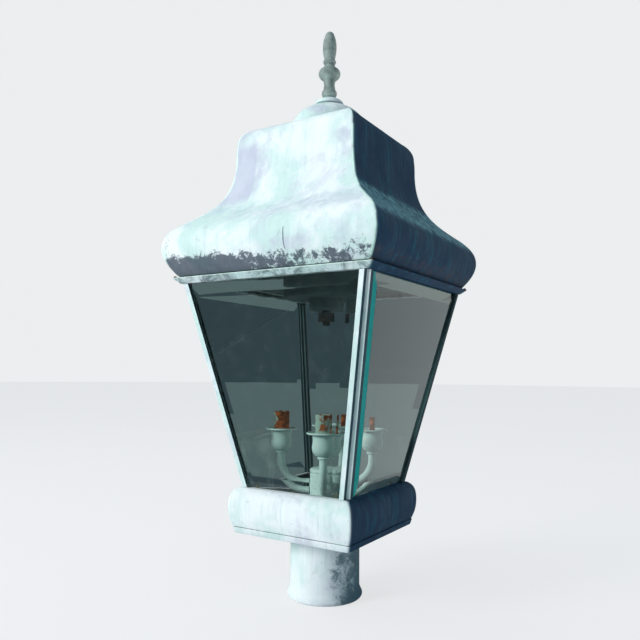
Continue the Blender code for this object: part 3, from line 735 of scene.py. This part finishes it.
def threaded_rod():
    """A rod with a rolled thread where its nuts run, and plain between."""
    foot, top = span("threaded_rod")
    pitch, depth, steps = 1.5, 0.45, 24
    threaded = ((foot, foot + 36), (top - 60, top - 1))
    heights = [foot]
    while heights[-1] < top - 0.3:
        here = heights[-1]
        fine = any(start <= here < end for start, end in threaded)
        heights.append(here + (pitch / 5 if fine else 6.0))
    heights[-1] = top
    mesh = bmesh.new()
    rings = [[mesh.verts.new((0, 0, foot * MM))]]
    for z in heights:
        fine = any(start <= z < end for start, end in threaded)
        ring = []
        for step in range(steps):
            share = step / steps
            wave = abs((z / pitch - share) % 1 - 0.5) * 2
            r = ROD_R - (depth * wave if fine else 0.1)
            angle = 2 * math.pi * share
            ring.append(mesh.verts.new(Vector((r * math.cos(angle), r * math.sin(angle), z)) * MM))
        rings.append(ring)
    rings.append([mesh.verts.new((0, 0, top * MM))])
    bridged(mesh, rings, loop=False)
    return finish("rod_thread", mesh, 60)


def build_rod():
    steel = metal_finish("rod_steel", tint(70, 74, 72), tint(104, 82, 62), 0.45, 0.7)
    show(threaded_rod(), steel, ["threaded_rod"], "roof")
    show(refined("rod_nut_fine", "rod_nut", 0.5), steel, ["rod_nut"], "roof")


def build_caps():
    """The dome over the roof's opening, and the small cap on it."""
    foot, crown = span("dome_cap_lower")
    dome = 47.0
    outline = joined(
        [(dome + 1.1, foot), (dome + 1.5, foot + 0.4), (dome + 1.4, foot + 1.0), (dome + 0.4, foot + 1.4)],
        arc((0, foot + SHEET), (dome, crown - foot - SHEET), 2, 82, 24),
        [(BORE, crown - 0.1)],
    )
    cap_skin = patina("cap_verdigris", 0.55, 0.45, 0.3, 0.5)
    lower = turned("dome_cap_fine", thick(outline), 96, 0.5, 30)
    show(lower, cap_skin, ["dome_cap_lower"], "roof")
    foot, top = span("dome_cap_upper")
    cap = 18.0
    outline = joined(
        [(BORE, foot), (cap - 0.3, foot), (cap, foot + 0.3), (cap, foot + 0.8)],
        arc((0, foot + 0.8), (cap, top - foot - 0.8), 2, 66, 14),
        [(7.4, top), (BORE, top)],
    )
    upper = turned("top_cap_fine", outline, 64, 0.2, 12)
    show(upper, cap_skin, ["dome_cap_upper"], "roof")


def build_finial():
    metal = bronze("finial_bronze_skin")
    foot, top = span("finial_base")
    base = joined(
        [(BORE, foot), (6.0, foot)],
        arc((2.2, foot + 6.2), (7.3, 6.2), -58, 50, 12),
        [(7.0, foot + 12.6), (7.3, foot + 13.1), (7.2, foot + 13.8)],
        bezier((6.7, foot + 14.4), (6.5, foot + 17), (6.6, foot + 19), (7.3, top - 0.5), 6),
        [(7.2, top), (BORE, top)],
    )
    foot, top = span("finial_flange")
    flange = joined(
        [(BORE, foot), (7.3, foot), (7.6, foot + 0.3)],
        bezier((8.2, foot + 1.4), (12.4, foot + 4.5), (13.6, foot + 6.7), (13.6, foot + 9.3), 10),
        bezier((13.6, foot + 9.3), (13.6, foot + 12.5), (11.4, foot + 14.7), (7.4, foot + 17.5), 10),
        [(6.7, foot + 18.3), (6.4, foot + 19.2), (6.6, top - 0.4), (6.4, top), (BORE, top)],
    )
    foot, top = span("finial_spire")
    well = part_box("threaded_rod")[1].z / MM + 1.0
    spire = joined(
        [(0.0, well), (BORE, well), (BORE, foot), (6.6, foot), (6.9, foot + 0.4)],
        arc((5.2, foot + 3.5), (2.9, 2.6), -56, 56, 8),
        [(6.5, foot + 6.6), (6.5, foot + 7.6)],
        bezier((6.9, foot + 8.6), (9.2, foot + 18), (9.4, foot + 29), (5.6, foot + 38.3), 16),
        bezier((5.6, foot + 38.3), (4.3, foot + 41.2), (2.2, top - 0.1), (0.0, top), 10),
    )
    for name, outline in (("base", base), ("flange", flange), ("spire", spire)):
        piece = turned(f"finial_{name}_fine", outline, 64, 0.1, 9)
        show(piece, metal, [f"finial_{name}"], "finial")


def build_hub(skin):
    foot, top = span("candle_hub")
    hub = 17.5
    outline = joined(
        [(0, top - 10), (BORE, top - 10), (BORE, foot), (hub - 0.4, foot), (hub, foot + 0.4)],
        [(hub, top - 7.8), (hub - 0.7, top - 7.2), (hub - 0.7, top - 6.5)],
        arc((hub - 1.6, top - 4.0), (2.0, 2.4), -60, 70, 8),
        bezier((hub - 1.6, top - 1.2), (hub - 5, top - 0.4), (6, top), (0, top), 10),
    )
    show(turned("candle_hub_fine", outline, 64, 0.3, 16), skin, ["candle_hub"])
    steel = metal_finish("nipple_steel", tint(104, 96, 78), tint(74, 80, 74), 0.4, 0.8)
    show(refined("hub_nipple_fine", "hub_nipple", 0.2), steel, ["hub_nipple"])
    show(refined("hub_locknut_fine", "hub_locknut", 0.4), steel, ["hub_locknut"])


def cup_outline(foot, top):
    """Goblet shape with a collar ring at its foot, hollow above its floor."""
    return joined(
        [(0, foot), (5.4, foot), (6.6, foot + 0.5), (6.9, foot + 1.3), (6.2, foot + 2.1)],
        bezier((5.8, foot + 2.6), (10.4, foot + 4.2), (13.3, foot + 8.4), (12.9, foot + 13), 12),
        bezier((12.9, foot + 13), (12.4, foot + 17), (11.2, top - 4.5), (12.4, top), 10),
        [(11.1, top), (10.4, top - 6), (10.8, foot + 13), (8.4, foot + 7.4), (0, foot + 7)],
    )


def bobeche_outline(foot, top):
    """A thin dished disc with a rolled rim."""
    edge = 19.0
    return joined(
        [(4.4, foot), (13.0, foot), (16.4, foot + 0.8)],
        arc((edge - 1.15, top - 1.15), (1.15, 1.15), -70, 160, 10),
        [(15.4, foot + 1.5), (12.6, foot + 0.9), (4.4, foot + 0.9)],
    )


def sleeve_outline(foot, top):
    """A thin steel socket, eaten ragged at its lip."""
    wall = 9.5
    return joined(
        [(0, foot + 2.3), (3.6, foot + 2.3), (3.6, foot), (wall - 0.2, foot), (wall - 0.3, foot + 5)],
        [(wall - 0.2, foot + 10), (wall - 0.5, foot + 15)],
        [(wall, top - 4), (wall, top - 2), (wall, top - 0.5), (wall - 0.7, top), (wall - 1.6, top - 0.4)],
        [(wall - 1.4, top - 4), (wall - 1.3, foot + 4), (0, foot + 4)],
    )


def ragged(piece, top, seed):
    """Eats away the lip of a sleeve or a stub, and roughens its wall."""
    for vertex in piece.data.vertices:
        spot = vertex.co / MM
        near = max(0.0, min(1.0, (spot.z - top + 8) / 8))
        bite = uneven(spot, 2.2, 2.6, seed) * near * near
        vertex.co.z -= bite * MM
        worn = uneven(spot, 0.5, 1.8, seed + 5) * (0.4 + near)
        side = Vector((spot.x, spot.y, 0))
        if side.length > 3.0:
            vertex.co -= side.normalized() * worn * MM
    return piece


def build_candles():
    """Four bent arms, each with a cup, a drip pan and what is left of its socket."""
    skin = patina("candle_verdigris", 0.6, 0.3, 0.3, 0.8, paint_candle)
    build_hub(skin)
    blooms = {1: 0.1, 2: 0.22, 3: -0.4, 4: -0.2}
    for number in range(1, 5):
        cup_at = middle(f"cup_{number}")
        turn = math.degrees(math.atan2(cup_at.y, cup_at.x))
        reach = cup_at.length / MM
        hub_edge, bend = 17.9, 28.0
        level = span(f"arm_{number}")[0] + 4.5
        path = joined(
            [(hub_edge, level), (reach - bend, level)],
            arc((reach - bend, level + bend), (bend, bend), -86, 0, 18),
            [(reach, span(f"cup_{number}")[0] - 0.3)],
        )
        arm = swept(f"bent_arm_{number}", path, 4.5, turn)
        show(arm, skin, [f"arm_{number}"])
        cup = turned(f"candle_cup_{number}", cup_outline(*span(f"cup_{number}")), 48, 0.2, 9, number, cup_at)
        show(cup, skin, [f"cup_{number}"])
        outline = bobeche_outline(*span(f"bobeche_{number}"))
        pan = turned(f"drip_pan_{number}", outline, 64, 0.35, 11, number, cup_at)
        show(pan, skin, [f"bobeche_{number}"])
        rusty = rust(f"socket_rust_{number}", blooms[number])
        foot, top = span(f"socket_post_{number}")
        stub = [(0, foot), (3.2, foot)]
        stub += [(3.2, foot + (top - foot) * share / 12) for share in range(1, 12)]
        stub += [(3.2, top - 0.4), (2.6, top), (0, top)]
        post = turned(f"socket_stub_{number}", stub, 32, at=cup_at)
        show(ragged(post, top, number), rusty, [f"socket_post_{number}"])
        if f"socket_sleeve_{number}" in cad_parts:
            foot, top = span(f"socket_sleeve_{number}")
            sleeve = turned(f"socket_shell_{number}", sleeve_outline(foot, top), 64, at=cup_at)
            show(ragged(sleeve, top, number), rusty, [f"socket_sleeve_{number}"])


# ---------------------------------------------------------------- floor, light and camera

def seen_as(tree, seen, mirrored, through):
    """A colour for the camera, another for reflections and a third for what shows through glass."""
    path = wired(tree, "ShaderNodeLightPath").outputs
    depth = {0: path["Diffuse Depth"], 1: 0.5}
    straight = wired(tree, "ShaderNodeMath", depth, operation="LESS_THAN").outputs[0]
    flags = {0: path["Is Transmission Ray"], 1: straight}
    shown = wired(tree, "ShaderNodeMath", flags, operation="MULTIPLY").outputs[0]
    colour = seen
    for flag, other in ((path["Is Glossy Ray"], mirrored), (shown, through)):
        colour = wired(tree, "ShaderNodeMix", {0: flag, 6: colour, 7: other}, data_type="RGBA").outputs[2]
    return colour, path


def distance_along(tree, place, way):
    """How far a place lies along a way."""
    return wired(tree, "ShaderNodeVectorMath", {0: place, 1: way}, operation="DOT_PRODUCT").outputs["Value"]


def build_floor():
    """A pale floor. The camera and reflections see more of its plain colour than of the light on it."""
    mesh = bmesh.new()
    bmesh.ops.create_circle(mesh, cap_ends=True, segments=96, radius=FLOOR_REACH)
    floor = finish("floor", mesh)
    floor.location.z = -FLOOR_DROP
    material = bpy.data.materials.new("pale_floor")
    material.use_nodes = True
    tree = material.node_tree
    place = wired(tree, "ShaderNodeTexCoord").outputs["Object"]
    ramp = wired(tree, "ShaderNodeValToRGB", {0: distance_along(tree, place, (0.52, 0.85, 0))})
    near, far = ramp.color_ramp.elements
    near.color = tint(70, 84, 90)
    far.position = 0.5
    far.color = tint(236, 238, 238)
    colour, path = seen_as(tree, tint(240, 241, 242), ramp.outputs[0], tint(92, 106, 108))
    surface = tree.nodes["Principled BSDF"]
    tree.links.new(colour, surface.inputs["Base Color"])
    surface.inputs["Roughness"].default_value = 0.9
    surface.inputs["Specular IOR Level"].default_value = 0.1
    glow = wired(tree, "ShaderNodeEmission", {"Color": colour}).outputs[0]
    flags = {0: path["Is Camera Ray"], 1: 0.82, 2: path["Is Glossy Ray"]}
    lift = wired(tree, "ShaderNodeMath", flags, operation="MULTIPLY_ADD").outputs[0]
    both = wired(tree, "ShaderNodeMixShader", {0: lift, 1: surface.outputs[0], 2: glow}).outputs[0]
    tree.links.new(both, tree.nodes["Material Output"].inputs["Surface"])
    floor.data.materials.append(material)


def build_world():
    """Pale behind the lantern. The room around it is dim and soft, and brighter on the left and above."""
    world = bpy.data.worlds.new("studio")
    bpy.context.scene.world = world
    world.use_nodes = True
    tree = world.node_tree
    place = wired(tree, "ShaderNodeTexCoord").outputs["Generated"]
    room = wired(tree, "ShaderNodeValToRGB", {0: distance_along(tree, place, (-0.62, -0.35, 0.7))})
    dim, bright = room.color_ramp.elements
    dim.color = tint(52, 92, 118)
    bright.position = 0.9
    bright.color = tint(214, 226, 232)
    behind = distance_along(tree, place, (0.265, 0.425, 0.02))
    share = wired(tree, "ShaderNodeMath", {0: behind, 1: 0.5}).outputs[0]
    mirrored = wired(tree, "ShaderNodeValToRGB", {0: share})
    front, back = mirrored.color_ramp.elements
    front.color = tint(92, 108, 112)
    back.color = tint(244, 246, 238)
    for position, shade in ((0.5, tint(26, 54, 70)), (0.8, tint(70, 88, 92))):
        mirrored.color_ramp.elements.new(position).color = shade
    colour, path = seen_as(tree, room.outputs[0], mirrored.outputs[0], tint(50, 64, 70))
    card = {0: path["Is Camera Ray"], 6: colour, 7: tint(236, 238, 239)}
    shown = wired(tree, "ShaderNodeMix", card, data_type="RGBA").outputs[2]
    tree.links.new(shown, tree.nodes["Background"].inputs["Color"])


def area_light(name, turn, rise, distance, size, power):
    """A soft square lamp aimed at the lantern's middle, from turn degrees round and rise degrees up."""
    light = bpy.data.lights.new(name, "AREA")
    light.shape = "SQUARE"
    light.size = size
    light.energy = power
    lamp = bpy.data.objects.new(name, light)
    lamp.visible_glossy = False
    lamp.visible_transmission = False
    around, up = math.radians(turn), math.radians(rise)
    away = Vector((math.sin(around) * math.cos(up), -math.cos(around) * math.cos(up), math.sin(up)))
    lamp.location = Vector((0, 0, LAMP_AIM)) + away * distance
    lamp.rotation_euler = away.to_track_quat("Z", "Y").to_euler()
    bpy.context.scene.collection.objects.link(lamp)


def build_lights():
    area_light("key", turn=-32, rise=17, distance=3.0, size=0.9, power=73)
    area_light("overhead", turn=0, rise=88, distance=1.9, size=1.4, power=8)


def build_camera():
    data = bpy.data.cameras.new("view")
    data.lens = CAMERA_LENS
    data.sensor_width = 36.0
    data.shift_x, data.shift_y = CAMERA_SHIFT
    data.clip_start = 0.01
    camera = bpy.data.objects.new("view", data)
    turn = Matrix.Rotation(math.radians(CAMERA_TURN), 3, "Z")
    rise = Matrix.Rotation(math.radians(90 + CAMERA_RISE), 3, "X")
    roll = Matrix.Rotation(math.radians(CAMERA_ROLL), 3, "Z")
    camera.location = turn @ Vector((0, -CAMERA_AWAY, CAMERA_HEIGHT))
    camera.rotation_euler = (turn @ rise @ roll).to_euler()
    bpy.context.scene.collection.objects.link(camera)
    bpy.context.scene.camera = camera


bpy.context.scene.view_settings.view_transform = "Standard"
build_camera()
build_floor()
build_world()
build_lights()
build_fitter()
build_set_screws()
build_base()
build_tray()
build_cage()
build_roof()
build_ceiling()
build_rod()
build_caps()
build_finial()
build_candles()
